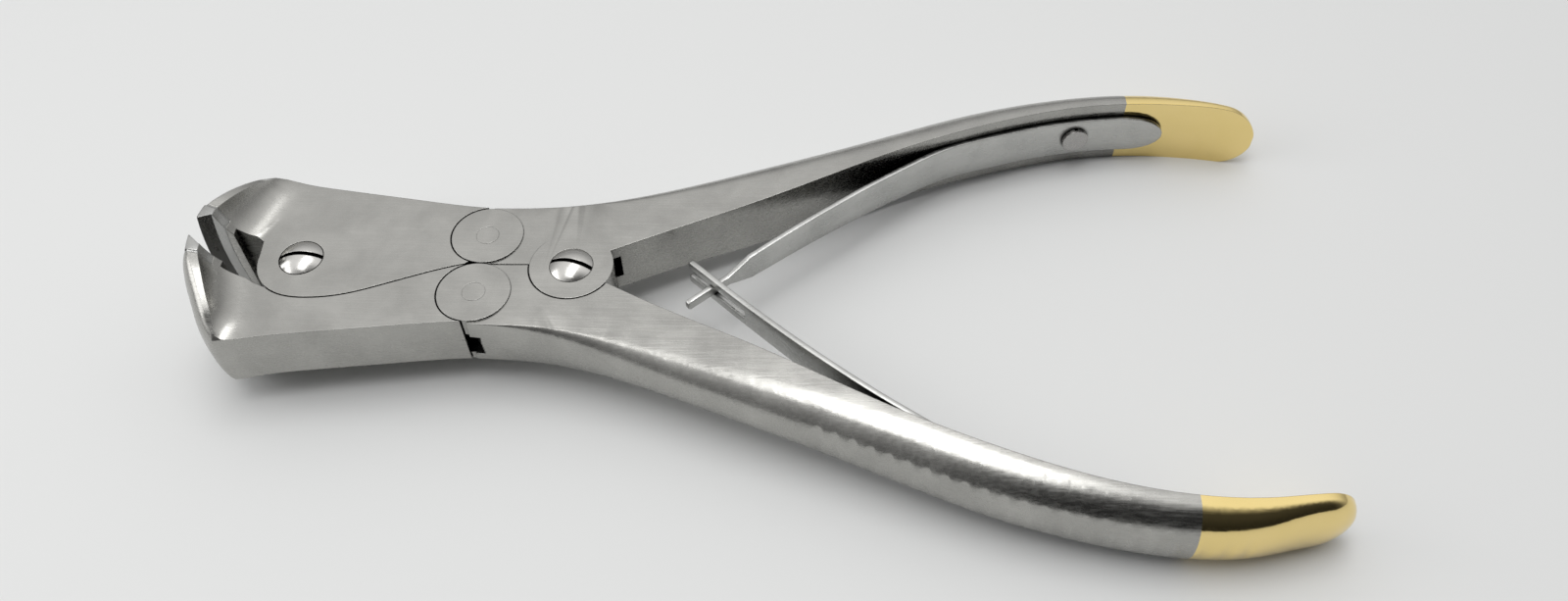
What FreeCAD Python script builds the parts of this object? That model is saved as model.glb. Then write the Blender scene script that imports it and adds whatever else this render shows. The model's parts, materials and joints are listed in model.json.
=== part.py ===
import FreeCAD, Part
import math
import os
from FreeCAD import Vector

# Double-action cutting forceps with end-cutting jaws, lying on its side.
# +X runs from the jaws to the grips and +Z is up. While it is built, the main pivot is at X = Y = 0
# and Z = 0 is the middle of the plates. The "upper" half is the +Y half.

# Joint body
BODY_HALF = 6.35
PIVOT_SPACING = 57.2
HALF_CRACK = 0.12
FACE_GAP = 0.05

# Main pivot: the fork is on the upper handle and the tongue is on the lower one
MAIN_LOBE_R = 8.8
MAIN_LOBE_GAP = 0.3
TONGUE_R = 8.7
FORK_LOW = -2.7
FORK_HIGH = 3.5
FORK_SLOT_R = 10.8

# Link pivots between each handle and its jaw, given for the upper half
LINK_X = -19.1
LINK_Y = 7.75
LINK_LOBE_R = 7.6
LINK_LOBE_GAP = 0.3
LINK_SLOT_LOW = -1.5
LINK_SLOT_HIGH = 4.4
LINK_SLOT_R = 8.2
LINK_EYE_R = 5.2
LINK_NECK_HALF = 4.2
LINK_NECK_LENGTH = 9.5
LINK_PIN_R = 2.4

# Pivot screws
PIN_PLAY = 0.04
SCREW_HEAD_R = 4.5
SCREW_DOME = 1.6
SCREW_SLOT_WIDTH = 0.95
MAIN_SHANK_R = 3.2
MAIN_HEAD_DEPTH = 1.5
MAIN_SLOT_TURN = -10.6
FRONT_SHANK_R = 3.0
FRONT_HEAD_DEPTH = 2.2
FRONT_SLOT_TURN = 3.4
HEAD_PLAY = 0.08
OPEN_PIVOT_PLAY = 0.15

# Jaws
JAW_OPEN = 6.7
LAP_GAP = 0.3
LAP_HALF_STEP = 0.03
BEAK_HALF = 15.55
BEAK_WIDTH = 23.2
EDGE_BOW_R = 75.0
EDGE_X = -21.4
EDGE_GAP = 0.03
BEVEL_X = -19.3
MOUTH_Y = 1.94
MOUTH_BACK = -12.0
SCOOP_TURN = 15.0
INSERT_BACK = -17.0
INSERT_THICK = 2.3

# Handles: X, outer edge of the flat top, widest point, half height
HANDLE_STATIONS = [
    (-24.0, 15.3, 15.6, 6.35),
    (-5.4, 16.0, 17.7, 6.35),
    (8.6, 18.0, 21.5, 6.35),
    (21.6, 21.2, 26.2, 6.42),
    (37.8, 26.0, 32.4, 6.95),
    (54.0, 31.4, 38.7, 7.5),
    (70.2, 37.2, 45.4, 8.0),
    (86.4, 43.7, 51.5, 8.3),
    (102.6, 48.9, 55.7, 8.4),
    (118.8, 52.0, 58.0, 8.4),
    (135.0, 52.2, 57.0, 8.4),
]
HANDLE_INNER = [
    (0.0, 0.4), (8.6, 4.8), (21.6, 11.3), (37.8, 18.9), (54.0, 27.3), (70.2, 35.6), (86.4, 42.4),
    (102.6, 47.8), (118.8, 50.9), (135.0, 51.1), (146.0, 49.6), (156.0, 47.6),
]
HANDLE_END_X = 151.7
HANDLE_END_R = 8.4

# Leaf springs
LEAF_THICK = 1.2
LEAF_HALF = 4.9
LEAF_GAP = 0.12
LEAF_REAR = 131.0
LEAF_BEND = 80.0
LEAF_TIP = 24.3
LEAF_FREE = [(70.5, 33.2), (59.4, 25.0), (48.6, 16.6), (37.8, 7.3), (30.2, 0.4), (24.3, -4.9)]
LEAF_FORK_X = 37.0
LEAF_FORK_HALF = 3.0
TONGUE_LEAF_HALF = 1.15
TONGUE_LEAF_X = 31.5
PRONG_GAP = 0.35
LEAF_SCREW_X = 110.1
LEAF_SCREW_R = 1.5
LEAF_SCREW_DEPTH = 3.5
LEAF_SCREW_HEAD_R = 3.0
LEAF_SCREW_HEAD = 1.1

# Room for cutting tools
FAR = 200.0
TALL = 20.0


def vectors(points, z=0.0):
    return [Vector(x, y, z) for x, y in points]


def curve(points):
    """A smooth plan curve through a few points."""
    spline = Part.BSplineCurve()
    spline.interpolate(vectors(points))
    return spline


def slab(edges, low, high):
    """A closed plan outline made into a block from one height to another."""
    face = Part.Face(Part.Wire(edges))
    block = face.extrude(Vector(0, 0, high - low))
    block.translate(Vector(0, 0, low))
    return block


def lines(points):
    corners = vectors(points)
    return [Part.makeLine(a, b) for a, b in zip(corners, corners[1:])]


def disc(radius, low, high, x=0.0, y=0.0):
    return Part.makeCylinder(radius, high - low, Vector(x, y, low))


def turned(shape, degrees, axis=Vector(0, 0, 1), centre=Vector(0, 0, 0)):
    copy = shape.copy()
    copy.rotate(centre, axis, degrees)
    return copy


def flipped(shape):
    """The matching piece of the lower half: half a turn about the long axis."""
    return turned(shape, 180.0, Vector(1, 0, 0))


def point_at(spline, x):
    """The point of a plan curve at X, and its unit tangent towards +X."""
    low, high = spline.FirstParameter, spline.LastParameter
    for _ in range(50):
        middle = (low + high) / 2
        if spline.value(middle).x < x:
            low = middle
        else:
            high = middle
    tangent = Vector(*spline.tangent(low)[0])
    return spline.value(low), tangent


# Handles

def handle_section(x, flat, outer, half):
    """A plain inner part that is cut away later, a flat top and a quarter ellipse to the widest point."""
    low_in = Vector(x, -2.0, -half)
    low_out = Vector(x, flat, -half)
    widest = Vector(x, outer, 0)
    high_out = Vector(x, flat, half)
    high_in = Vector(x, -2.0, half)
    edges = [Part.makeLine(low_in, low_out)]
    for start, corner, end in (
        (low_out, Vector(x, outer, -half), widest),
        (widest, Vector(x, outer, half), high_out),
    ):
        arc = Part.BezierCurve()
        arc.setPoles([start, corner, end])
        arc.setWeight(2, math.sqrt(0.5))
        edges.append(arc.toShape())
    edges.append(Part.makeLine(high_out, high_in))
    edges.append(Part.makeLine(high_in, low_in))
    return Part.Wire(edges)


def handle_end_stations():
    """The rounded end: the height follows a half circle and the outer face comes in to the inner one."""
    inner = curve(HANDLE_INNER)
    centre = HANDLE_END_X - HANDLE_END_R
    stations = []
    for degrees in (0.0, 24.0, 45.0, 64.0, 80.0):
        x = centre + HANDLE_END_R * math.sin(math.radians(degrees))
        half = HANDLE_END_R * math.cos(math.radians(degrees))
        face = point_at(inner, x)[0].y
        thick = 0.9 + 3.7 * math.cos(math.radians(degrees)) ** 0.8
        stations.append((x, face + 0.2 * thick, face + thick, half))
    return stations


def inner_prism():
    """All that lies outside the handle's inner face and the crack in front of the main pivot."""
    spline = curve(HANDLE_INNER)
    start = spline.value(spline.FirstParameter)
    end = spline.value(spline.LastParameter)
    corners = [(end.x, end.y), (end.x, 90.0), (-40.0, 90.0), (-40.0, HALF_CRACK), (0.0, HALF_CRACK)]
    edges = [spline.toShape()] + lines(corners)
    edges.append(Part.makeLine(Vector(0, HALF_CRACK, 0), Vector(start.x, start.y, 0)))
    return slab(edges, -TALL, TALL)


def handle_base():
    """One handle without its main joint, made as the upper one."""
    wires = [handle_section(*s) for s in HANDLE_STATIONS + handle_end_stations()]
    body = Part.makeLoft(wires, True, False)
    body = body.cut(Part.makeBox(40, 80, 2 * TALL, Vector(LINK_X - 40, -20, -TALL)))
    body = body.fuse(disc(LINK_LOBE_R, -BODY_HALF, BODY_HALF, LINK_X, LINK_Y))
    body = body.common(inner_prism())
    body = body.cut(disc(LINK_SLOT_R, LINK_SLOT_LOW, LINK_SLOT_HIGH, LINK_X, LINK_Y))
    body = body.cut(disc(LINK_PIN_R, -BODY_HALF, BODY_HALF, LINK_X, LINK_Y))
    hole = leaf_screw_rod(LEAF_SCREW_R, -LEAF_SCREW_DEPTH, 1.0)
    return body.cut(hole)


def leaf_screw_rod(radius, low, high):
    """A rod on the spring screw's axis; heights are measured from the handle's inner face."""
    point, tangent = point_at(curve(HANDLE_INNER), LEAF_SCREW_X)
    inward = Vector(tangent.y, -tangent.x, 0)
    return Part.makeCylinder(radius, high - low, point + inward * low, inward)


def make_handle_upper():
    body = handle_base()
    body = body.cut(disc(FORK_SLOT_R, FORK_LOW, FORK_HIGH))
    body = body.fuse(disc(MAIN_LOBE_R, FORK_HIGH, BODY_HALF))
    body = body.fuse(disc(MAIN_LOBE_R, -BODY_HALF, FORK_LOW))
    body = body.cut(disc(MAIN_SHANK_R, -TALL, TALL))
    body = body.cut(disc(SCREW_HEAD_R + HEAD_PLAY, BODY_HALF - MAIN_HEAD_DEPTH, TALL))
    return body.removeSplitter()


def make_handle_lower():
    body = flipped(handle_base())
    seat = MAIN_LOBE_R + MAIN_LOBE_GAP
    body = body.cut(disc(seat, FORK_HIGH - FACE_GAP, TALL))
    body = body.cut(disc(seat, -TALL, FORK_LOW + FACE_GAP))
    body = body.fuse(disc(TONGUE_R, FORK_LOW + FACE_GAP, FORK_HIGH - FACE_GAP))
    body = body.cut(disc(MAIN_SHANK_R + PIN_PLAY, -TALL, TALL))
    return body.removeSplitter()


# Jaws, made as the upper one with the front pivot at X = Y = 0

JAW_SIDE = [
    (38.0, 15.5), (28.1, 16.4), (19.4, 17.6), (10.5, 18.8), (2.6, 19.9), (-3.0, 20.8), (-7.9, 21.9),
    (-11.5, 22.5), (-15.0, 22.7), (-19.0, 22.6),
]
JAW_FRONT = [
    (-22.6, 3.9), (-22.7, 8.4), (-21.7, 12.6), (-19.9, 16.3), (-17.4, 19.4), (-14.0, 21.2), (-9.0, 22.6),
]
LOBE_EDGE = [
    (-8.95, 0.5), (-8.75, -2.2), (-7.2, -5.9), (-2.2, -9.6), (4.75, -10.3), (10.5, -9.4), (18.8, -6.4),
    (27.4, -2.8), (34.8, -0.25),
]
SCOOP = [(-10.8, 6.35), (-13.1, 7.0), (-15.15, 8.6), (-16.4, 10.6), (-17.5, 13.3), (-18.6, 16.6)]


def bowed(points_edges):
    """A plan outline swung about a far upright line, so that front wall and edge bow forwards."""
    face = Part.Face(Part.Wire(points_edges))
    hub = Vector(EDGE_X + EDGE_BOW_R, 0, 0)
    face = turned(face, -22.0, Vector(0, 1, 0), hub)
    return face.revolve(hub, Vector(0, 1, 0), 44.0)


def front_room():
    """The space in front of the jaw."""
    first = (EDGE_X, EDGE_GAP)
    spline = curve([first] + JAW_FRONT)
    last = JAW_FRONT[-1]
    step = (BEVEL_X - EDGE_X) / (MOUTH_Y - EDGE_GAP)
    foot = (EDGE_X - 3.0 * step, EDGE_GAP - 3.0)
    corners = [last, (last[0], 30.0), (-40.0, 30.0), (-40.0, -40.0), (foot[0], -40.0), foot, first]
    return bowed([spline.toShape()] + lines(corners))


def mouth_room():
    """The space inside the cutting edge: a bevel and then the flat inner face."""
    step = (BEVEL_X - EDGE_X) / (MOUTH_Y - EDGE_GAP)
    foot = (EDGE_X - 3.0 * step, EDGE_GAP - 3.0)
    corners = [foot, (BEVEL_X, MOUTH_Y), (MOUTH_BACK, MOUTH_Y), (MOUTH_BACK, -25.0), (foot[0], -25.0), foot]
    return bowed(lines(corners))


def insert_room():
    """The space that the hard insert takes in the jaw."""
    corners = [
        (-40.0, -4.0), (-40.0, EDGE_GAP + MOUTH_Y + INSERT_THICK), (INSERT_BACK, MOUTH_Y + INSERT_THICK),
        (INSERT_BACK, -4.0), (-40.0, -4.0),
    ]
    return bowed(lines(corners))


def side_room():
    """The side view of a jaw: flat joint body, then a scoop that rises to the crest of the beak."""
    top = Part.BSplineCurve()
    points = [Vector(x, 0, z) for x, z in SCOOP]
    points[0].z = BODY_HALF
    top.interpolate(Points=points, InitialTangent=Vector(-4, 0, 0), FinalTangent=Vector(-1, 0, 3))
    first, last = points[0], points[-1]
    upper = [Part.makeLine(Vector(60, 0, BODY_HALF), first), top.toShape()]
    upper.append(Part.makeLine(last, Vector(-40, 0, last.z)))
    face_edges = upper + [turned(e, 180.0, Vector(1, 0, 0)) for e in upper]
    face_edges.append(Part.makeLine(Vector(60, 0, BODY_HALF), Vector(60, 0, -BODY_HALF)))
    face_edges.append(Part.makeLine(Vector(-40, 0, last.z), Vector(-40, 0, -last.z)))
    wire = Part.Wire(Part.__sortEdges__(face_edges))
    way = Vector(math.sin(math.radians(SCOOP_TURN)), math.cos(math.radians(SCOOP_TURN)), 0)
    face = Part.Face(wire)
    face.translate(way * -30)
    return face.extrude(way * 70)


def end_room():
    """The end view of the jaws: an ellipse."""
    ring = Part.Ellipse(Vector(0, 0, 0), BEAK_WIDTH, BEAK_HALF).toShape()
    face = Part.Face(Part.Wire([ring]))
    face = turned(face, 90.0, Vector(1, 0, 0))
    face = turned(face, 90.0)
    face.translate(Vector(-40, 0, 0))
    return face.extrude(Vector(110, 0, 0))


def lobe_edge(grow, side):
    """The edge of the pivot lobe and arm, moved outwards by grow, and mirrored where side is -1."""
    spline = curve(LOBE_EDGE)
    points = []
    for i in range(len(LOBE_EDGE)):
        t = spline.parameter(Vector(LOBE_EDGE[i][0], LOBE_EDGE[i][1], 0))
        tangent = Vector(*spline.tangent(t)[0])
        point = spline.value(t) + Vector(tangent.y, -tangent.x, 0) * grow
        points.append((point.x, side * point.y))
    return curve(points)


def own_room():
    """The plan that the upper jaw has in its own half of the lap: beak, relief notch, pivot lobe and arm."""
    spline = lobe_edge(0.0, 1)
    start = spline.value(spline.FirstParameter)
    end = spline.value(spline.LastParameter)
    notch = [(-30.0, -30.0), (-15.0, -30.0), (-14.6, 5.2), (-10.7, 5.25), (-9.3, 4.3), (start.x, start.y)]
    rest = [(end.x, end.y), (36.0, 0.9), (37.0, 7.0), (60.0, 7.0), (60.0, 40.0), (-30.0, 40.0), (-30.0, -30.0)]
    return slab(lines(notch) + [spline.toShape()] + lines(rest), LAP_HALF_STEP, TALL)


def other_room():
    """The plan that the upper jaw has in the other jaw's half of the lap."""
    spline = lobe_edge(LAP_GAP, -1)
    low = spline.parameter(Vector(-5.4, 8.1, 0))
    spline.segment(low, spline.LastParameter)
    start = spline.value(spline.FirstParameter)
    end = spline.value(spline.LastParameter)
    notch = [(-30.0, -30.0), (-15.0, -30.0), (-14.6, 5.2), (-10.0, 5.9), (-7.9, 7.2), (start.x, start.y)]
    rest = [(end.x, end.y), (36.0, 1.4), (37.0, 7.0), (60.0, 7.0), (60.0, 40.0), (-30.0, 40.0), (-30.0, -30.0)]
    return slab(lines(notch) + [spline.toShape()] + lines(rest), -TALL, -LAP_HALF_STEP)


def beak_blank():
    """The jaw's outside with its mouth, before lap and link are cut, with the jaws part open."""
    side = curve(JAW_SIDE)
    first, last = JAW_SIDE[0], JAW_SIDE[-1]
    corners = [last, (-30.0, last[1]), (-30.0, -14.0), (first[0], -14.0), first]
    blank = slab([side.toShape()] + lines(corners), -TALL, TALL)
    blank = blank.cut(turned(front_room(), -JAW_OPEN))
    blank = blank.cut(turned(mouth_room(), -JAW_OPEN))
    blank = blank.common(turned(side_room(), -JAW_OPEN))
    return blank.common(turned(end_room(), -JAW_OPEN))


def link_tongue():
    """The eye that sits in the handle's slot, with its neck."""
    low = LINK_SLOT_LOW + FACE_GAP
    high = LINK_SLOT_HIGH - FACE_GAP
    x = PIVOT_SPACING + LINK_X
    neck = Part.makeBox(
        LINK_NECK_LENGTH, 2 * LINK_NECK_HALF, high - low,
        Vector(x - LINK_NECK_LENGTH, LINK_Y - LINK_NECK_HALF, low),
    )
    eye = disc(LINK_EYE_R, low, high, x, LINK_Y).fuse(neck)
    return eye.cut(disc(LINK_PIN_R + PIN_PLAY, -TALL, TALL, x, LINK_Y))


def upper_jaw_and_insert():
    """The upper jaw and its insert, with the front pivot at X = Y = 0 and no screw holes."""
    blank = beak_blank()
    pocket = turned(insert_room(), -JAW_OPEN)
    insert = blank.common(pocket)
    blank = blank.cut(pocket)
    jaw = blank.common(own_room()).fuse(blank.common(other_room()))
    middle = Part.makeBox(60, 60, 2 * LAP_HALF_STEP, Vector(-24, -15, -LAP_HALF_STEP))
    jaw = jaw.fuse(blank.common(middle).common(shared_room()))
    recess = disc(LINK_LOBE_R + LINK_LOBE_GAP, -TALL, TALL, PIVOT_SPACING + LINK_X, LINK_Y)
    jaw = jaw.cut(recess).fuse(link_tongue())
    return jaw, insert


def shared_room():
    """The plan that the upper jaw has in both halves of the lap."""
    own = own_room()
    own.translate(Vector(0, 0, -TALL / 2))
    other = other_room()
    other.translate(Vector(0, 0, TALL / 2))
    return own.common(other)


def make_jaws():
    """Both jaws with the front screw's holes, and both inserts, in place."""
    jaw, insert = upper_jaw_and_insert()
    upper = jaw.cut(disc(FRONT_SHANK_R + OPEN_PIVOT_PLAY, -TALL, TALL))
    upper = upper.cut(disc(SCREW_HEAD_R + OPEN_PIVOT_PLAY, BODY_HALF - FRONT_HEAD_DEPTH - FACE_GAP, TALL))
    lower = flipped(jaw).cut(disc(FRONT_SHANK_R, -TALL, TALL))
    shapes = {
        "jaw_upper": upper.removeSplitter(),
        "jaw_lower": lower.removeSplitter(),
        "cutting_insert_upper": insert,
        "cutting_insert_lower": flipped(insert),
    }
    for shape in shapes.values():
        shape.translate(Vector(-PIVOT_SPACING, 0, 0))
    return shapes


# Screws, pins and springs

def domed_head(radius, depth, dome):
    """A round head whose dome stands on Z = 0."""
    ball_r = (radius ** 2 + dome ** 2) / (2 * dome)
    ball = Part.makeSphere(ball_r, Vector(0, 0, dome - ball_r), Vector(0, 0, 1), -90, 90, 360)
    cap = ball.common(disc(radius, 0, dome + 1))
    return cap.fuse(disc(radius, -depth, 0))


def pivot_screw(head_depth, shank_r, slot_turn, x):
    head = domed_head(SCREW_HEAD_R, head_depth, SCREW_DOME)
    slot = Part.makeBox(4 * SCREW_HEAD_R, SCREW_SLOT_WIDTH, TALL)
    slot.translate(Vector(-2 * SCREW_HEAD_R, -SCREW_SLOT_WIDTH / 2, -head_depth / 2))
    head = head.cut(turned(slot, slot_turn))
    head.translate(Vector(0, 0, BODY_HALF))
    screw = head.fuse(disc(shank_r, -BODY_HALF, BODY_HALF - head_depth))
    screw.translate(Vector(x, 0, 0))
    return screw.removeSplitter()


def strip(points, thick):
    """A bent strip in plan, centred on a curve, as a tall block."""
    spline = curve(points)
    count = 2 * len(points)
    sides = {1: [], -1: []}
    for i in range(count + 1):
        t = spline.FirstParameter + (spline.LastParameter - spline.FirstParameter) * i / count
        point = spline.value(t)
        tangent = Vector(*spline.tangent(t)[0])
        for side in sides:
            offset = Vector(-tangent.y, tangent.x, 0) * (side * thick / 2)
            sides[side].append((point.x + offset.x, point.y + offset.y))
    left = curve(sides[1])
    right = curve(sides[-1])
    caps = lines([sides[1][-1], sides[-1][-1]]) + lines([sides[-1][0], sides[1][0]])
    return slab(Part.__sortEdges__([left.toShape(), right.toShape()] + caps), -TALL, TALL)


def leaf_path():
    """The leaf lies on the inner face of its handle and then leaves it straight."""
    inner = curve(HANDLE_INNER)
    points = []
    x = LEAF_REAR
    while x >= LEAF_BEND:
        point, tangent = point_at(inner, x)
        point = point + Vector(tangent.y, -tangent.x, 0) * (LEAF_THICK / 2 + LEAF_GAP)
        points.append((point.x, point.y))
        x -= (LEAF_REAR - LEAF_BEND) / 6
    return points + LEAF_FREE


def leaf_blank(side_view):
    """The bent strip cut to its side view, an outline in X and Z."""
    corners = [Vector(x, 0, z) for x, z in side_view]
    wire = Part.makePolygon(corners + corners[:1])
    face = Part.Face(wire)
    face.translate(Vector(0, -30, 0))
    leaf = strip(leaf_path(), LEAF_THICK).common(face.extrude(Vector(0, 110, 0)))
    rear = Part.makeCylinder(LEAF_HALF, 110, Vector(LEAF_REAR - LEAF_HALF, -30, 0), Vector(0, 1, 0))
    block = Part.makeBox(LEAF_REAR - LEAF_HALF, 110, 2 * LEAF_HALF, Vector(0, -30, -LEAF_HALF))
    leaf = leaf.common(block.fuse(rear))
    return leaf.cut(leaf_screw_rod(LEAF_SCREW_R, -1.0, LEAF_THICK + 2.0))


def make_spring_upper():
    """The leaf that ends in a single tongue."""
    half = LEAF_FORK_HALF
    side = [
        (LEAF_REAR, LEAF_HALF), (LEAF_BEND, LEAF_HALF), (LEAF_FORK_X, half + 0.3),
        (TONGUE_LEAF_X, TONGUE_LEAF_HALF), (LEAF_TIP - 1, TONGUE_LEAF_HALF),
    ]
    return leaf_blank(side + [(x, -z) for x, z in reversed(side)])


def make_spring_lower():
    """The leaf that ends in two prongs."""
    half = LEAF_FORK_HALF
    side = [(LEAF_REAR, LEAF_HALF), (LEAF_BEND, LEAF_HALF), (LEAF_FORK_X, half + 0.3), (LEAF_TIP - 1, half)]
    leaf = leaf_blank(side + [(x, -z) for x, z in reversed(side)])
    gap = TONGUE_LEAF_HALF + PRONG_GAP
    slot = Part.makeBox(LEAF_FORK_X - LEAF_TIP + 3, 60, 2 * gap, Vector(LEAF_TIP - 3, -30, -gap))
    return flipped(leaf.cut(slot))


def make_leaf_screw():
    """A small slotted screw that holds a leaf to the handle's inner face."""
    base = LEAF_THICK + 2 * LEAF_GAP
    shank = leaf_screw_rod(LEAF_SCREW_R, -LEAF_SCREW_DEPTH, base)
    head = leaf_screw_rod(LEAF_SCREW_HEAD_R, base, base + LEAF_SCREW_HEAD)
    point, tangent = point_at(curve(HANDLE_INNER), LEAF_SCREW_X)
    inward = Vector(tangent.y, -tangent.x, 0)
    slot = Part.makeBox(0.8, 2.0, 4 * LEAF_SCREW_HEAD_R, Vector(-0.4, 0, -2 * LEAF_SCREW_HEAD_R))
    slot = turned(slot, 180.0 - math.degrees(math.atan2(inward.x, inward.y)))
    slot.translate(point + inward * (base + LEAF_SCREW_HEAD / 2) + inward * 0.0)
    return shank.fuse(head).cut(slot).removeSplitter()


def link_pin():
    return disc(LINK_PIN_R, -BODY_HALF, BODY_HALF, LINK_X, LINK_Y)


def main():
    parts = {"handle_upper": make_handle_upper(), "handle_lower": make_handle_lower()}
    parts.update(make_jaws())
    parts["main_pivot_screw"] = pivot_screw(MAIN_HEAD_DEPTH, MAIN_SHANK_R, MAIN_SLOT_TURN, 0.0)
    parts["front_pivot_screw"] = pivot_screw(FRONT_HEAD_DEPTH, FRONT_SHANK_R, FRONT_SLOT_TURN, -PIVOT_SPACING)
    parts["link_pin_upper"] = link_pin()
    parts["link_pin_lower"] = flipped(link_pin())
    parts["spring_upper"] = make_spring_upper()
    parts["spring_lower"] = make_spring_lower()
    parts["spring_screw_upper"] = make_leaf_screw()
    parts["spring_screw_lower"] = flipped(make_leaf_screw())
    box = Part.makeCompound(list(parts.values())).optimalBoundingBox(True, False)
    shift = Vector(-box.Center.x, -box.Center.y, -box.ZMin)
    os.makedirs("parts", exist_ok=True)
    for name, shape in parts.items():
        shape.translate(shift)
        shape.exportStep("parts/" + name + ".step")
        size = shape.optimalBoundingBox(True, False)
        print(name, len(shape.Solids), "solids, valid", shape.isValid(), "volume %.1f" % shape.Volume)
        print("   X %.2f %.2f  Y %.2f %.2f  Z %.2f %.2f" % (
            size.XMin, size.XMax, size.YMin, size.YMax, size.ZMin, size.ZMax))
    print("shift %.4f %.4f %.4f" % (shift.x, shift.y, shift.z))


main()
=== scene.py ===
# %% [markdown]
# # Cutting forceps with a double-action joint
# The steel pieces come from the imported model: two jaws, two handles, the hard cutting inserts,
# the pivot screws and the pins. The screws and pins only get their finish. Jaws, inserts and
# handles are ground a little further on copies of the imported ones, as the maker does after forging.
# The two leaf springs are made anew, because springs bend. The whole is lit as on a
# photographer's table.

# %% Load the model
import json
import math
import bmesh
import bpy
from mathutils import Matrix, Vector


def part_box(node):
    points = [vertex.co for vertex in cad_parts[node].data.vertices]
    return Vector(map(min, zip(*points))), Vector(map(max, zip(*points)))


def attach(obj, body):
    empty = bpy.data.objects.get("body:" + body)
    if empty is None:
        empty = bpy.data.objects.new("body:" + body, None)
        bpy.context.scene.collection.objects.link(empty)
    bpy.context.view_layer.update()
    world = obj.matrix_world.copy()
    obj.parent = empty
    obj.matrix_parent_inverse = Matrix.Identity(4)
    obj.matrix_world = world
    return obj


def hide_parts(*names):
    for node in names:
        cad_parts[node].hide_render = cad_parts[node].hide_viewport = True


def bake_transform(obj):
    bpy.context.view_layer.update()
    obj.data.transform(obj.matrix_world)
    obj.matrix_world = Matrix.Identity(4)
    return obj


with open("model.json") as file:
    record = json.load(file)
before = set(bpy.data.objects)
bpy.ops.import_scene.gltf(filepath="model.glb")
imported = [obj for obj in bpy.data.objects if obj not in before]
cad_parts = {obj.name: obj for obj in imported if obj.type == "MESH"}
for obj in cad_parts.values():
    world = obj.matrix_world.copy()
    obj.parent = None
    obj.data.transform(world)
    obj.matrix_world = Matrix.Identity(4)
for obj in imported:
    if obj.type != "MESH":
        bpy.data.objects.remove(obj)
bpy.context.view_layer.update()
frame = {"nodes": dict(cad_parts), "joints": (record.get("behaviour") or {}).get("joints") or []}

MM = 0.001
main_joint = frame["joints"][0]
PIVOT = Vector(main_joint["pos_m"])
print("main pivot at", [round(v, 4) for v in PIVOT])


def at(x, y, z=0.0):
    """A place in metres from millimetres counted from the main pivot."""
    return PIVOT + Vector((x, y, z)) * MM


# %% [markdown]
# ## Camera
# A camera is two things: where it stands and which way it looks. Here the way is given as three
# turns, left or right, down and roll, and the camera's own axes follow from them. The lens comes
# from the width of the view.

# %% Camera
YAW, PITCH, ROLL = (math.radians(a) for a in (2.987, 51.447, 0.718))
CAMERA_PLACE = at(53.08, -165.71, 204.74)
SENSOR = 36.0
LENS = 28.566

forward = Vector((-math.sin(YAW) * math.cos(PITCH), math.cos(YAW) * math.cos(PITCH), -math.sin(PITCH)))
level = Vector((math.cos(YAW), math.sin(YAW), 0))
below = forward.cross(level)
right = math.cos(ROLL) * level + math.sin(ROLL) * below
down = -math.sin(ROLL) * level + math.cos(ROLL) * below
turn = Matrix((right, -down, -forward)).transposed()

camera_data = bpy.data.cameras.new("camera")
camera_data.sensor_width = SENSOR
camera_data.lens = LENS
camera_data.clip_start = 0.005
camera = bpy.data.objects.new("camera", camera_data)
camera.matrix_world = Matrix.Translation(CAMERA_PLACE) @ turn.to_4x4()
bpy.context.collection.objects.link(camera)
bpy.context.scene.camera = camera
bpy.context.scene.view_settings.view_transform = "Standard"
print("camera looks down", round(math.degrees(PITCH), 1), "degrees, lens", LENS, "mm")

# %% [markdown]
# ## Small tools for the work
# An operator acts on all that is selected, so everything is let go first. Node trees are easier to
# read when each node is made and wired in one call.

# %% Selecting and wiring


def clear_selection():
    if bpy.context.object and bpy.context.object.mode != "OBJECT":
        bpy.ops.object.mode_set(mode="OBJECT")
    bpy.ops.object.select_all(action="DESELECT")


def only(obj):
    clear_selection()
    bpy.context.view_layer.objects.active = obj
    obj.select_set(True)


def node(tree, kind, inputs=None, **settings):
    """Makes a node. An input's value is a constant or another node's output socket."""
    made = tree.nodes.new(kind)
    for name, value in settings.items():
        setattr(made, name, value)
    for name, value in (inputs or {}).items():
        if isinstance(value, bpy.types.NodeSocket):
            tree.links.new(value, made.inputs[name])
        else:
            made.inputs[name].default_value = value
    return made


def group_tree(name, takes, gives):
    """An empty shader group with its sockets, and its two end nodes."""
    tree = bpy.data.node_groups.new(name, "ShaderNodeTree")
    for socket, kind, value in takes:
        made = tree.interface.new_socket(socket, in_out="INPUT", socket_type=kind)
        if value is not None:
            made.default_value = value
    for socket, kind in gives:
        tree.interface.new_socket(socket, in_out="OUTPUT", socket_type=kind)
    return tree, tree.nodes.new("NodeGroupInput"), tree.nodes.new("NodeGroupOutput")


def shader_group(tree, group, inputs):
    made = tree.nodes.new("ShaderNodeGroup")
    made.node_tree = group
    for name, value in inputs.items():
        if isinstance(value, bpy.types.NodeSocket):
            tree.links.new(value, made.inputs[name])
        else:
            made.inputs[name].default_value = value
    return made


def fresh_material(name):
    material = bpy.data.materials.new(name)
    material.use_nodes = True
    tree = material.node_tree
    tree.nodes.clear()
    shader = tree.nodes.new("ShaderNodeBsdfPrincipled")
    output = tree.nodes.new("ShaderNodeOutputMaterial")
    tree.links.new(shader.outputs["BSDF"], output.inputs["Surface"])
    place = tree.nodes.new("ShaderNodeTexCoord").outputs["Object"]
    return material, tree, shader, place


FLOAT, VECTOR = "NodeSocketFloat", "NodeSocketVector"
print("tools ready")

# %% [markdown]
# ## Leaf springs: the way they run
# Each handle has a leaf of spring steel screwed to its inner face. The leaf follows the face, then
# leaves it and crosses to the other side, where the two leaves hook through each other. A curve
# through a few points gives the way. The leaf is made flat and bent along it afterwards, because a
# flat strip is easy to shape and the Curve modifier does the bending.

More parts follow.
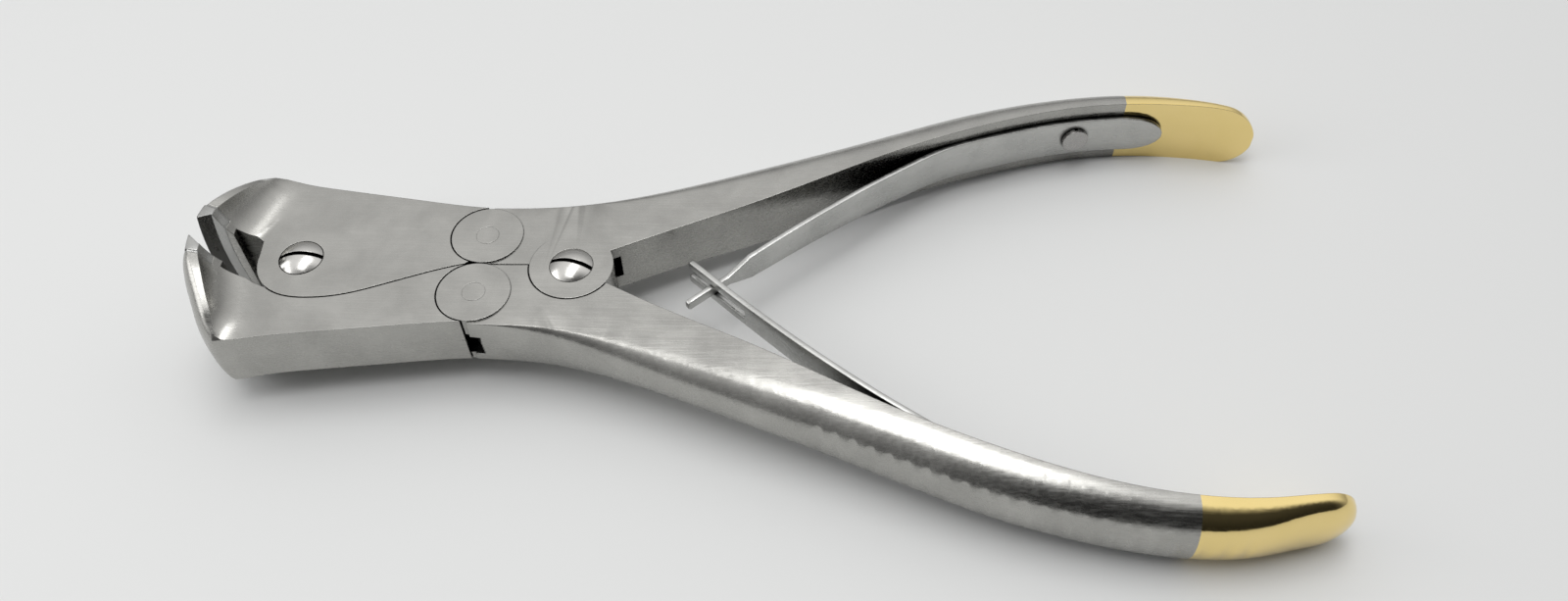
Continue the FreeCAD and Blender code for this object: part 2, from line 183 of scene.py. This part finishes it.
# %% Way of the leaf
LEAF_WAY = [
    (131.0, 50.6), (118.8, 50.2), (102.6, 47.1), (91.0, 43.35), (80.3, 39.2),
    (70.0, 32.7), (54.0, 20.85), (37.8, 7.3), (24.3, -4.9),
]

clear_selection()
bpy.ops.curve.primitive_bezier_curve_add(location=(0, 0, 0))
leaf_way = bpy.context.object
leaf_way.data.dimensions = "2D"
leaf_way.data.resolution_u = 24
spline = leaf_way.data.splines[0]
spline.bezier_points.add(len(LEAF_WAY) - 2)
for point, (x, y) in zip(spline.bezier_points, LEAF_WAY):
    point.co = (x * MM, y * MM, 0)
    point.handle_left_type = point.handle_right_type = "AUTO"
LEAF_LENGTH = spline.calc_length() / MM
print("a leaf is", round(LEAF_LENGTH, 1), "mm long")

# %% [markdown]
# ## Picking and pulling
# In edit mode an operator acts on what is selected. Here vertices are picked by their place, and an
# edge is pulled out along X and made wider or narrower in one step, the way one draws out a strip.

# %% Picking and pulling
bpy.context.scene.tool_settings.mesh_select_mode = (True, False, False)


def pick(obj, test):
    """Selects the vertices in edit mode whose place passes the test."""
    mesh = bmesh.from_edit_mesh(obj.data)
    for vertex in mesh.verts:
        vertex.select = bool(test(vertex.co / MM))
    mesh.select_flush_mode()
    bmesh.update_edit_mesh(obj.data)


def pull(stations):
    """Pulls the selected edge from the first station to each next one; a station is X and half width."""
    for (x, half), (to_x, to_half) in zip(stations, stations[1:]):
        bpy.ops.mesh.extrude_region_move(TRANSFORM_OT_translate={"value": ((to_x - x) * MM, 0, 0)})
        bpy.ops.transform.resize(value=(1, to_half / half, 1), center_override=(to_x * MM, 0, 0))


# %% [markdown]
# ## Leaf springs: the flat strip
# A spring maker stamps the leaf flat. It is wide and round where it is screwed on, and narrows
# towards the free end. One leaf ends in a tongue and the other in two prongs, so that they can
# cross. The strip starts as three columns of faces. The tongue keeps all three, made narrow. For
# the prongs only the two outer columns are pulled on, so the middle one ends at the slot.

# %% Flat leaves
LEAF_HALF = 4.9
LEAF_ROUND = 9.0
LEAF_BEND = (52.0, LEAF_HALF)
LEAF_FORK = (LEAF_LENGTH - 17.0, 3.3)
TONGUE = [(LEAF_LENGTH - 11.0, 1.15), (LEAF_LENGTH - 0.6, 1.15), (LEAF_LENGTH, 0.7)]
PRONG_END = (LEAF_LENGTH, 3.1)


def flat_leaf(name):
    """The strip from its round rear end to the fork, with its front edge picked."""
    clear_selection()
    bpy.ops.mesh.primitive_grid_add(x_subdivisions=1, y_subdivisions=3, size=1, location=(0, 0, 0))
    leaf = bpy.context.object
    leaf.name = leaf.data.name = name
    bpy.ops.object.mode_set(mode="EDIT")
    bpy.ops.transform.resize(value=(2 * MM, 2 * LEAF_HALF * MM, 1), center_override=(0, 0, 0))
    bpy.ops.transform.translate(value=((LEAF_ROUND + 1) * MM, 0, 0))
    pick(leaf, lambda co: co.x < LEAF_ROUND + 1)
    angles = [math.radians(a) for a in (0, 20, 36, 50, 62, 73, 83)]
    pull([(LEAF_ROUND * (1 - math.sin(a)), LEAF_HALF * math.cos(a)) for a in angles])
    pick(leaf, lambda co: co.x > LEAF_ROUND + 1)
    pull([(LEAF_ROUND + 2, LEAF_HALF), LEAF_BEND, LEAF_FORK])
    return leaf


tongue_leaf = flat_leaf("leaf_with_tongue")
pull([LEAF_FORK] + TONGUE)
prong_leaf = flat_leaf("leaf_with_prongs")
for across in (1, -1):
    pick(prong_leaf, lambda co: abs(co.x - LEAF_FORK[0]) < 0.1 and across * co.y > 1)
    bpy.ops.mesh.extrude_region_move(
        TRANSFORM_OT_translate={"value": ((PRONG_END[0] - LEAF_FORK[0]) * MM, 0, 0)})
pick(prong_leaf, lambda co: co.x > LEAF_FORK[0] + 1)
bpy.ops.transform.resize(value=(1, PRONG_END[1] / LEAF_FORK[1], 1), center_override=(0, 0, 0))
pick(prong_leaf, lambda co: co.x > PRONG_END[0] - 1)
bpy.ops.mesh.bevel(offset=0.45 * MM, segments=3, affect="VERTICES")
clear_selection()
print("flat leaves:", len(tongue_leaf.data.polygons), "and", len(prong_leaf.data.polygons), "faces")

# %% [markdown]
# ## Leaf springs: thickness and bend
# The strip is cut across every few millimetres so that it can bend, gets its thickness, has its
# edges broken and is laid along the way. The lower leaf is turned half round about the long axis.

# %% Bent leaves
LEAF_THICK = 1.2
LEAF_EDGE = 0.16
CUT_STEP = 3.0


def bend_leaf(leaf, turned):
    only(leaf)
    bpy.ops.object.mode_set(mode="EDIT")
    for cut in range(1, int(LEAF_LENGTH / CUT_STEP)):
        bpy.ops.mesh.select_all(action="SELECT")
        bpy.ops.mesh.bisect(plane_co=(CUT_STEP * cut * MM, 0, 0), plane_no=(1, 0, 0))
    bpy.ops.mesh.select_all(action="SELECT")
    bpy.ops.mesh.remove_doubles(threshold=0.01 * MM)
    bpy.ops.transform.rotate(value=math.pi / 2, orient_axis="X", center_override=(0, 0, 0))
    bpy.ops.object.mode_set(mode="OBJECT")
    plate = leaf.modifiers.new("thickness", "SOLIDIFY")
    plate.thickness = LEAF_THICK * MM
    plate.offset = 0
    soft = leaf.modifiers.new("broken_edges", "BEVEL")
    soft.width = LEAF_EDGE * MM
    soft.segments = 2
    soft.angle_limit = math.radians(50)
    bent = leaf.modifiers.new("bend", "CURVE")
    bent.object = leaf_way
    for modifier in ("thickness", "broken_edges", "bend"):
        bpy.ops.object.modifier_apply(modifier=modifier)
    bpy.ops.object.mode_set(mode="EDIT")
    bpy.ops.mesh.select_all(action="SELECT")
    bpy.ops.mesh.normals_make_consistent(inside=False)
    if turned:
        bpy.ops.transform.rotate(value=math.pi, orient_axis="X", center_override=(0, 0, 0))
    bpy.ops.transform.translate(value=PIVOT)
    bpy.ops.object.mode_set(mode="OBJECT")
    bpy.ops.object.shade_smooth_by_angle(angle=math.radians(35))
    print(leaf.name, len(leaf.data.polygons), "faces")


bend_leaf(tongue_leaf, False)
bend_leaf(prong_leaf, True)
bpy.data.objects.remove(leaf_way)
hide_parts("spring_upper")
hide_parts("spring_lower")
for leaf, own, other in (
        (tongue_leaf, "upper_handle", "lower_handle"), (prong_leaf, "lower_handle", "upper_handle")):
    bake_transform(leaf)

# %% [markdown]
# ## Jaws: the hollow-ground beak
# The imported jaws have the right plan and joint, and a plain beak. On the real tool the grinder left a
# narrow land behind the rim that runs out at the jaw's side, with a hollow behind it. That form is
# a stack of side views, one at each distance from the mouth: wall, rim, land, hollow, flat body. The
# stack is joined to a solid, and each jaw is cut to it, so that all else on the jaw stays exact.

# %% Side views of the beak
FRONT_PIVOT = Vector((-57.2, 0, 0))
JAW_OPEN = math.radians(6.7)
BODY_HALF = 6.36
BODY_END = 90.0
ARC_STEPS = 14
VIEWS_PER_ROW = 6
# distance from the mouth, X of the wall, X and height of the rim, fullness, width of the land,
# start of the hollow
BEAK_ROWS = [
    (-30.0, -21.5, -19.9, 15.6, 0.5, 2.3, -9.0),
    (0.3, -21.5, -19.9, 15.6, 0.5, 2.3, -9.0),
    (4.0, -22.5, -19.5, 15.2, 0.85, 1.9, -8.6),
    (8.0, -21.7, -17.95, 14.4, 0.95, 1.5, -8.2),
    (12.0, -20.25, -16.55, 13.0, 0.95, 1.2, -7.6),
    (16.0, -18.75, -15.2, 10.9, 0.95, 1.0, -6.8),
    (19.0, -17.0, -14.4, 8.6, 0.95, 0.8, -6.2),
    (21.4, -14.8, -13.0, 6.9, 0.9, 0.6, -6.0),
    (23.5, -11.4, -10.6, 6.4, 0.9, 0.4, -6.0),
    (30.0, -5.0, -4.8, 6.38, 0.9, 0.2, -2.0),
]


def between(a, b, c, d, t):
    """A smooth value between b and c."""
    return b + 0.5 * t * (c - a + t * (2 * a - 5 * b + 4 * c - d + t * (3 * (b - c) + d - a)))


def soft_arc(start, corner, end, steps):
    """Points of an arc that leaves start and reaches end, drawn towards the corner."""
    return [
        tuple((1 - t) ** 2 * a + 2 * t * (1 - t) * b + t * t * c for a, b, c in zip(start, corner, end))
        for t in (i / steps for i in range(steps + 1))]


def side_view(y, wall, rim, height, full, land, hollow):
    """One closed side view, upper half then lower half."""
    edge = (rim + land, height - 0.35 * land)
    foot = (rim + land + 0.18 * (hollow - rim), BODY_HALF)
    upper = soft_arc((wall, 0), (wall, full * height), (rim, height), ARC_STEPS)
    upper += soft_arc(edge, foot, (hollow, BODY_HALF), ARC_STEPS) + [(BODY_END, BODY_HALF)]
    return [(x, y, z) for x, z in upper] + [(x, y, -z) for x, z in reversed(upper[1:])]


def beak_form():
    rows = [BEAK_ROWS[0]] + BEAK_ROWS + [BEAK_ROWS[-1]]
    views = []
    for a, b, c, d in zip(rows, rows[1:], rows[2:], rows[3:]):
        count = 1 if b is BEAK_ROWS[0] or c is BEAK_ROWS[-1] else VIEWS_PER_ROW
        for step in range(count):
            views.append(side_view(*(between(*v, step / count) for v in zip(a, b, c, d))))
    views.append(side_view(*BEAK_ROWS[-1]))
    around = len(views[0])
    faces = [[k for k in range(around)], [(len(views) - 1) * around + k for k in reversed(range(around))]]
    for row in range(len(views) - 1):
        for k in range(around):
            a, b = row * around + k, row * around + (k + 1) % around
            faces.append([b, a, a + around, b + around])
    opened = Matrix.Rotation(-JAW_OPEN, 3, "Z")
    points = [(opened @ Vector(v) + FRONT_PIVOT) * MM for view in views for v in view]
    print("beak form of", len(views), "side views with", around, "points each")
    mesh = bpy.data.meshes.new("beak_form")
    mesh.from_pydata(points, [], faces)
    form = bpy.data.objects.new("beak_form", mesh)
    bpy.context.collection.objects.link(form)
    only(form)
    bpy.ops.object.mode_set(mode="EDIT")
    bpy.ops.mesh.select_all(action="SELECT")
    bpy.ops.mesh.normals_make_consistent(inside=False)
    bpy.ops.object.mode_set(mode="OBJECT")
    return form


# %% [markdown]
# ## Jaws: grinding them to the form
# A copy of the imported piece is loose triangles, so it is merged before the cut. The lower jaw is the
# upper one turned half round about the long axis, and so is its form. The Boolean modifier keeps
# what lies inside the form, which is what grinding does.

# %% Cut the jaws and inserts to the form


def merged_copy(name, new_name):
    """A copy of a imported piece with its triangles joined, which stands for it."""
    source = frame["nodes"][name]
    mesh = source.data.copy()
    mesh.transform(source.matrix_world)
    copy = bpy.data.objects.new(new_name, mesh)
    bpy.context.collection.objects.link(copy)
    only(copy)
    bpy.ops.object.mode_set(mode="EDIT")
    bpy.ops.mesh.select_all(action="SELECT")
    bpy.ops.mesh.remove_doubles(threshold=0.0005 * MM)
    bpy.ops.mesh.customdata_custom_splitnormals_clear()
    bpy.ops.object.mode_set(mode="OBJECT")
    return copy


def cut_with(piece, tool, operation):
    only(piece)
    cut = piece.modifiers.new("cut", "BOOLEAN")
    cut.operation = operation
    cut.solver = "MANIFOLD"
    cut.object = tool
    bpy.ops.object.modifier_apply(modifier="cut")


form = beak_form()
made = {}
for side, body in (("upper", "upper_jaw"), ("lower", "lower_jaw")):
    only(form)
    bpy.ops.object.mode_set(mode="EDIT")
    bpy.ops.mesh.select_all(action="SELECT")
    if side == "lower":
        bpy.ops.transform.translate(value=-PIVOT)
        bpy.ops.transform.rotate(value=math.pi, orient_axis="X", center_override=(0, 0, 0))
    bpy.ops.transform.translate(value=PIVOT)
    bpy.ops.object.mode_set(mode="OBJECT")
    for node_name, new_name, slot in (
            ("jaw_" + side, "beak_jaw_" + side, "jaw_steel"),
            ("cutting_insert_" + side, "ground_insert_" + side, "hard_insert")):
        piece = merged_copy(node_name, new_name)
        cut_with(piece, form, "INTERSECT")
        only(piece)
        bpy.ops.object.shade_smooth_by_angle(angle=math.radians(28))
        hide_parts(node_name)
        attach(piece, body)
        made[node_name] = piece
        print(new_name, len(piece.data.polygons), "faces")
bpy.data.objects.remove(form)

# %% [markdown]
# ## Handles: flat joint plates
# The joint plates are ground flat together once the tool is assembled, and a slot in each wall
# shows the tongue of the jaw. A block takes a hair off each plate, and a disc opens the slot a
# little, as a slitting saw leaves it round.

# %% Grind the joint plates
PLATE_HALF = 6.34
PLATE_TOP = 12.0
PLATE_X = (-40, 14.0)
PLATE_Y = (-30, 30)
LINK_AT = Vector((-19.1, 7.75, 0))
SLOT_R = 8.65
SLOT_HIGH = 5.5
SLOT_RISE = 1.05


def box_cutter(low, high):
    clear_selection()
    size = [(b - a) * MM for a, b in zip(low, high)]
    middle = at(*((a + b) / 2 for a, b in zip(low, high)))
    bpy.ops.mesh.primitive_cube_add(size=1, location=middle, scale=size)
    return bpy.context.object


def grind_plates(handle, side):
    """Takes a hair off the top and bottom of the joint, and opens the slot by the link."""
    for up in (1, -1):
        low, high = sorted((up * PLATE_HALF, up * PLATE_TOP))
        tool = box_cutter((PLATE_X[0], PLATE_Y[0], low), (PLATE_X[1], PLATE_Y[1], high))
        cut_with(handle, tool, "DIFFERENCE")
        bpy.data.objects.remove(tool)
    clear_selection()
    bpy.ops.mesh.primitive_cylinder_add(
        vertices=96, radius=SLOT_R * MM, depth=SLOT_HIGH * MM,
        location=at(LINK_AT.x, side * LINK_AT.y, side * SLOT_RISE))
    tool = bpy.context.object
    cut_with(handle, tool, "DIFFERENCE")
    bpy.data.objects.remove(tool)


print("plates are ground to", 2 * PLATE_HALF, "mm")

# %% [markdown]
# ## Handles: the scallops of the grip
# The fingers hold the handle by a row of shallow scallops on its outer wall, made with a round
# grinding wheel. The wheel is swung over the round wall, so the tool here is a ring: the handle's
# wall lies in its hole, and the scallop fades out above and below. Rays from outside measure where
# the wall is and how round. The scallops lie about three and a half millimetres apart, a little
# wider towards the gold, where they go on faintly.

# %% Scallops of the grip
# distance along the handle and depth of each scallop
SCALLOPS = [(51.95 + 3.36 * k + 0.0105 * k * k, 0.3) for k in range(20)]
SCALLOPS += [(123.4, 0.16), (127.2, 0.14), (131.0, 0.12)]
WHEEL_R = 5.0
REACH = 4.6
OUTSIDE = 90
LEAST_RISE = 0.35


def wall_at(handle, x, z, side):
    """The place and outward direction of the handle's outer wall."""
    hit, place, normal, face = handle.ray_cast(at(x, side * OUTSIDE, z), Vector((0, -side, 0)))
    return place, Vector((normal.x, normal.y, 0)).normalized()


def grind_scallops(handle, side):
    spots = []
    for x, deep in SCALLOPS:
        wall, outward = wall_at(handle, x, 0, side)
        edge, _ = wall_at(handle, x, REACH, side)
        drop = (wall - edge).dot(outward) / MM
        rise = max(drop - deep, LEAST_RISE)
        ring = (REACH ** 2 + rise ** 2) / (2 * rise)
        spots.append((wall - outward * (ring + deep) * MM, ring, outward))
    for centre, ring, outward in spots:
        along = Vector((-outward.y, outward.x, 0))
        clear_selection()
        bpy.ops.mesh.primitive_torus_add(
            location=centre, rotation=along.to_track_quat("Z", "Y").to_euler(),
            major_radius=(ring + WHEEL_R) * MM, minor_radius=WHEEL_R * MM,
            major_segments=120, minor_segments=96)
        tool = bpy.context.object
        cut_with(handle, tool, "DIFFERENCE")
        bpy.data.objects.remove(tool)


for side, name in ((1, "upper"), (-1, "lower")):
    handle = merged_copy("handle_" + name, "grip_handle_" + name)
    grind_plates(handle, side)
    grind_scallops(handle, side)
    only(handle)
    bpy.ops.object.shade_smooth_by_angle(angle=math.radians(24))
    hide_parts("handle_" + name)
    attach(handle, name + "_handle")
    made["handle_" + name] = handle
    print(handle.name, len(handle.data.polygons), "faces")

# %% [markdown]
# ## Satin steel
# The steel has been brushed with a fine wheel, so under the light it has short hair lines along the
# tool, a soft cloudiness where it was handled, and a few scratches. One group makes all three
# from noise, and each material says how strong and in which direction.

# %% Brushed grain group
grain, g_in, g_out = group_tree(
    "brushed_grain",
    [("Place", VECTOR, None), ("Along X", FLOAT, 90.0), ("Across", FLOAT, 2600.0), ("Along Z", FLOAT, 2600.0)],
    [("Hairs", FLOAT), ("Clouds", FLOAT), ("Scratches", FLOAT)],
)
stretch = node(grain, "ShaderNodeCombineXYZ", {
    "X": g_in.outputs["Along X"], "Y": g_in.outputs["Across"], "Z": g_in.outputs["Along Z"]})
scaled = node(grain, "ShaderNodeVectorMath", {
    0: g_in.outputs["Place"], 1: stretch.outputs[0]}, operation="MULTIPLY")
hairs = node(grain, "ShaderNodeTexNoise", {
    "Vector": scaled.outputs[0], "Scale": 1.0, "Detail": 4.0, "Roughness": 0.62})
clouds = node(grain, "ShaderNodeTexNoise", {
    "Vector": g_in.outputs["Place"], "Scale": 95.0, "Detail": 5.0, "Roughness": 0.58, "Distortion": 0.25})
lengths = node(grain, "ShaderNodeMapping", {
    "Vector": g_in.outputs["Place"], "Rotation": (0.3, 0.2, 0.5), "Scale": (70.0, 900.0, 900.0)})
scratch = node(grain, "ShaderNodeTexNoise", {
    "Vector": lengths.outputs[0], "Scale": 1.0, "Detail": 2.0, "Roughness": 0.5})
thin = node(grain, "ShaderNodeMapRange", {
    "Value": scratch.outputs["Fac"], "From Min": 0.66, "From Max": 0.74, "To Min": 0.0, "To Max": 1.0})
grain.links.new(hairs.outputs["Fac"], g_out.inputs["Hairs"])
grain.links.new(clouds.outputs["Fac"], g_out.inputs["Clouds"])
grain.links.new(thin.outputs["Result"], g_out.inputs["Scratches"])
print("grain group of", len(grain.nodes), "nodes")

# %% [markdown]
# ## From grain to steel
# Roughness decides how wide a reflection spreads, so the hairs and clouds go mostly into it, and a
# little into colour and height. The edges are broken by a fraction of a millimetre on the real
# tool: the bevel node bends the normal there, so that each edge catches a thin line of light. Shade
# is painted into the colour in the joint lines and in the mouth: two ambient occlusion nodes, a
# short one and a long one, darken the metal there. In the joint lines this painted shade stands
# partly for dirt as well.

# %% Steel material
GRAIN_HEIGHT = 0.01
CRACK_REACH = 1.0
HOLLOW_REACH = 6.0


def steel(name, tone, rough, along=90.0, across=2600.0, up=2600.0,
          cloud=0.10, hair=0.10, edge=0.22, height=0.5):
    material, tree, shader, place = fresh_material(name)
    g = shader_group(tree, grain, {"Place": place, "Along X": along, "Across": across, "Along Z": up})
    darker = tuple(c * (1 - cloud) for c in tone) + (1.0,)
    lighter = tuple(min(1.0, c * (1 + cloud)) for c in tone) + (1.0,)
    spread = node(tree, "ShaderNodeMapRange", {
        "Value": g.outputs["Clouds"], "From Min": 0.32, "From Max": 0.68})
    tint = node(tree, "ShaderNodeMix", {"Factor": spread.outputs["Result"]}, data_type="RGBA")
    tint.inputs["A"].default_value = darker
    tint.inputs["B"].default_value = lighter
    hairs_part = node(tree, "ShaderNodeMapRange", {
        "Value": g.outputs["Hairs"], "From Min": 0.3, "From Max": 0.7,
        "To Min": rough - hair, "To Max": rough + hair})
    cloud_part = node(tree, "ShaderNodeMapRange", {
        "Value": g.outputs["Clouds"], "From Min": 0.3, "From Max": 0.7, "To Min": -0.035, "To Max": 0.035})
    total = node(tree, "ShaderNodeMath", {0: hairs_part.outputs["Result"], 1: cloud_part.outputs["Result"]})
    soft = node(tree, "ShaderNodeBevel", {"Radius": edge * MM}, samples=6)
    lines_up = node(tree, "ShaderNodeMath", {
        0: g.outputs["Scratches"], 1: -0.6}, operation="MULTIPLY")
    relief = node(tree, "ShaderNodeMath", {0: g.outputs["Hairs"], 1: lines_up.outputs[0]})
    bump = node(tree, "ShaderNodeBump", {
        "Strength": height, "Distance": GRAIN_HEIGHT * MM, "Height": relief.outputs[0], "Normal": soft.outputs["Normal"]})
    # Painted shade: two ambient occlusion nodes darken the base colour in the joint lines, slots and mouth. The
    # short one stands partly for dirt in the joint lines.
    crack = node(tree, "ShaderNodeAmbientOcclusion", {"Distance": CRACK_REACH * MM}, samples=8)
    crack_dirt_and_shade = node(tree, "ShaderNodeMapRange", {
        "Value": crack.outputs["AO"], "From Min": 0.3, "From Max": 0.8, "To Min": 0.0, "To Max": 1.0})
    deep = node(tree, "ShaderNodeAmbientOcclusion", {"Distance": HOLLOW_REACH * MM}, samples=8)
    hollow = node(tree, "ShaderNodeMapRange", {
        "Value": deep.outputs["AO"], "From Min": 0.3, "From Max": 0.75, "To Min": 0.05, "To Max": 1.0})
    dark = node(tree, "ShaderNodeMath", {
        0: crack_dirt_and_shade.outputs["Result"], 1: hollow.outputs["Result"]}, operation="MULTIPLY")
    # The tone is multiplied by this painted shade before it becomes the base colour.
    dirt_and_painted_shade = node(tree, "ShaderNodeMix", {"Factor": 1.0}, data_type="RGBA", blend_type="MULTIPLY")
    tree.links.new(tint.outputs["Result"], dirt_and_painted_shade.inputs["A"])
    tree.links.new(dark.outputs[0], dirt_and_painted_shade.inputs["B"])
    shader.inputs["Metallic"].default_value = 1.0
    tree.links.new(dirt_and_painted_shade.outputs["Result"], shader.inputs["Base Color"])
    tree.links.new(total.outputs[0], shader.inputs["Roughness"])
    tree.links.new(bump.outputs["Normal"], shader.inputs["Normal"])
    return material, tree, shader, place, g, dirt_and_painted_shade, total


# %% [markdown]
# ## The steels of this tool
# Jaws, handles and pins are brushed alike. The inserts are ground across, so their grain runs up
# and down. The screws were polished on a lathe, and the leaves are of a lighter spring steel.

# %% Dress the steel pieces
SATIN = (0.40, 0.395, 0.375)


def dress(name, material):
    """Gives a piece its material, and only that one."""
    obj = made.get(name) or frame["nodes"][name]
    obj.data.materials.clear()
    obj.data.materials.append(material)


jaw_steel = steel("jaw_satin", SATIN, 0.29)[0]
insert_steel = steel(
    "insert_ground", (0.37, 0.37, 0.36), 0.27, along=400.0, across=400.0, up=90.0, cloud=0.06)[0]
screw_steel = steel(
    "screw_polished", (0.6, 0.59, 0.565), 0.2, along=1200.0, across=1200.0, cloud=0.05, hair=0.04)[0]
pin_steel = steel("pin_satin", SATIN, 0.26)[0]
spring_steel = steel("leaf_satin", (0.49, 0.49, 0.475), 0.32, along=300.0, across=1500.0)[0]
small_screw = steel("small_screw_satin", (0.42, 0.41, 0.4), 0.28, along=1200.0, across=1200.0, cloud=0.05)[0]

for side in ("upper", "lower"):
    dress("jaw_" + side, jaw_steel)
    dress("cutting_insert_" + side, insert_steel)
    dress("link_pin_" + side, pin_steel)
    dress("spring_screw_" + side, small_screw)
for leaf in (tongue_leaf, prong_leaf):
    leaf.data.materials.append(spring_steel)
dress("main_pivot_screw", screw_steel)
dress("front_pivot_screw", screw_steel)
print("steels:", [m.name for m in bpy.data.materials if m.use_nodes])

# %% [markdown]
# ## Handles: satin steel with gold-plated ends
# The rear ends were masked off, polished and plated. A plating has a sharp border and no height, so
# the two finishes are one material, and the place along the handle says which one shows.

# %% Handle material
GOLD_FROM = at(121.3, 0).x
GOLD_BORDER = 0.05
# tint is the satin tone already darkened by the painted shade of the ambient occlusion nodes. The gold ends do
# not get that shade.
handle_material, tree, shader, place, g, tint, rough_out = steel("handle_satin_gold", SATIN, 0.26)
parts = node(tree, "ShaderNodeSeparateXYZ", {"Vector": place})
gold_mask = node(tree, "ShaderNodeMapRange", {
    "Value": parts.outputs["X"],
    "From Min": GOLD_FROM - GOLD_BORDER * MM, "From Max": GOLD_FROM + GOLD_BORDER * MM})
gold_tone = node(tree, "ShaderNodeMix", {"Factor": g.outputs["Clouds"]}, data_type="RGBA")
gold_tone.inputs["A"].default_value = (0.84, 0.66, 0.27, 1.0)
gold_tone.inputs["B"].default_value = (0.92, 0.73, 0.34, 1.0)
body_tone = node(tree, "ShaderNodeMix", {"Factor": gold_mask.outputs["Result"]}, data_type="RGBA")
tree.links.new(tint.outputs["Result"], body_tone.inputs["A"])
tree.links.new(gold_tone.outputs["Result"], body_tone.inputs["B"])
gold_rough = node(tree, "ShaderNodeMapRange", {
    "Value": g.outputs["Clouds"], "From Min": 0.3, "From Max": 0.7, "To Min": 0.07, "To Max": 0.13})
body_rough = node(tree, "ShaderNodeMix", {
    "Factor": gold_mask.outputs["Result"], "A": rough_out.outputs[0], "B": gold_rough.outputs["Result"]})
tree.links.new(body_tone.outputs["Result"], shader.inputs["Base Color"])
tree.links.new(body_rough.outputs["Result"], shader.inputs["Roughness"])
dress("handle_upper", handle_material)
dress("handle_lower", handle_material)
print("gold from", round(GOLD_FROM, 4), "m")

# %% [markdown]
# ## Table
# The table is a pale sheet that keeps the soft shadow. The tool rests on its beak and on its
# handles, and the beak reaches lower, so the sheet leans a little to touch both.

# %% Table
BEAK_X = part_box("jaw_lower")[0].x
REST_X = at(127, 0).x
REST_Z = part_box("handle_lower")[0].z
LEAN = math.atan2(REST_Z, REST_X - BEAK_X)
clear_selection()
bpy.ops.mesh.primitive_plane_add(size=6.0, location=(BEAK_X, 0, 0), rotation=(0, -LEAN, 0))
table = bpy.context.object
table.name = "table"
table_material, tree, shader, place = fresh_material("table_paper")
shader.inputs["Base Color"].default_value = (0.73, 0.735, 0.73, 1.0)
shader.inputs["Roughness"].default_value = 0.7
shader.inputs["Specular IOR Level"].default_value = 0.2
table.data.materials.append(table_material)
print("table leans", round(math.degrees(LEAN), 2), "degrees")

# %% [markdown]
# ## Room and lamps
# An even pale room gives most of the light, so a colour on the tool renders about as it is written.
# Metal shows what stands around it: the room is paler above, and dim on the side behind the
# camera, which draws the dark bands on the rounded handles. A wide soft panel overhead draws the
# bright line on them, and a smaller one at the left lights the beak.

# %% Room and lamps
DIM_SIDE = (0.34, -0.86, 0.38)
world = bpy.data.worlds.new("room")
bpy.context.scene.world = world
world.use_nodes = True
tree = world.node_tree
background = tree.nodes["Background"]
way = node(tree, "ShaderNodeTexCoord").outputs["Generated"]
parts = node(tree, "ShaderNodeSeparateXYZ", {"Vector": way})
height = node(tree, "ShaderNodeMapRange", {
    "Value": parts.outputs["Z"], "From Min": 0.0, "From Max": 0.9, "To Min": 0.38, "To Max": 1.0},
    interpolation_type="SMOOTHSTEP")
dim_way = node(tree, "ShaderNodeVectorMath", {0: way, 1: DIM_SIDE}, operation="DOT_PRODUCT")
dim = node(tree, "ShaderNodeMapRange", {
    "Value": dim_way.outputs["Value"], "From Min": 0.3, "From Max": 0.88, "To Min": 1.0, "To Max": 0.05},
    interpolation_type="SMOOTHSTEP")
room = node(tree, "ShaderNodeMath", {0: height.outputs["Result"], 1: dim.outputs["Result"]}, operation="MULTIPLY")
seen = node(tree, "ShaderNodeLightPath")
level_out = node(tree, "ShaderNodeMix", {
    "Factor": seen.outputs["Is Camera Ray"], "A": room.outputs[0], "B": 0.76})
background.inputs["Color"].default_value = (1.0, 1.0, 1.0, 1.0)
tree.links.new(level_out.outputs["Result"], background.inputs["Strength"])


def panel(name, place, look_at, width, height, watts):
    data = bpy.data.lights.new(name, "AREA")
    data.shape = "RECTANGLE"
    data.size = width
    data.size_y = height
    data.energy = watts
    lamp = bpy.data.objects.new(name, data)
    way = (Vector(look_at) - Vector(place)).to_track_quat("-Z", "Y")
    lamp.matrix_world = Matrix.Translation(place) @ way.to_matrix().to_4x4()
    bpy.context.collection.objects.link(lamp)
    return lamp


panel("overhead", (-0.05, 0.02, 0.8), (0, 0, 0), 0.7, 0.3, 2.4)
panel("left", (-0.7, -0.1, 0.35), (0, 0, 0), 0.5, 0.4, 1.2)
print("lamps:", [lamp.name for lamp in bpy.data.lights])
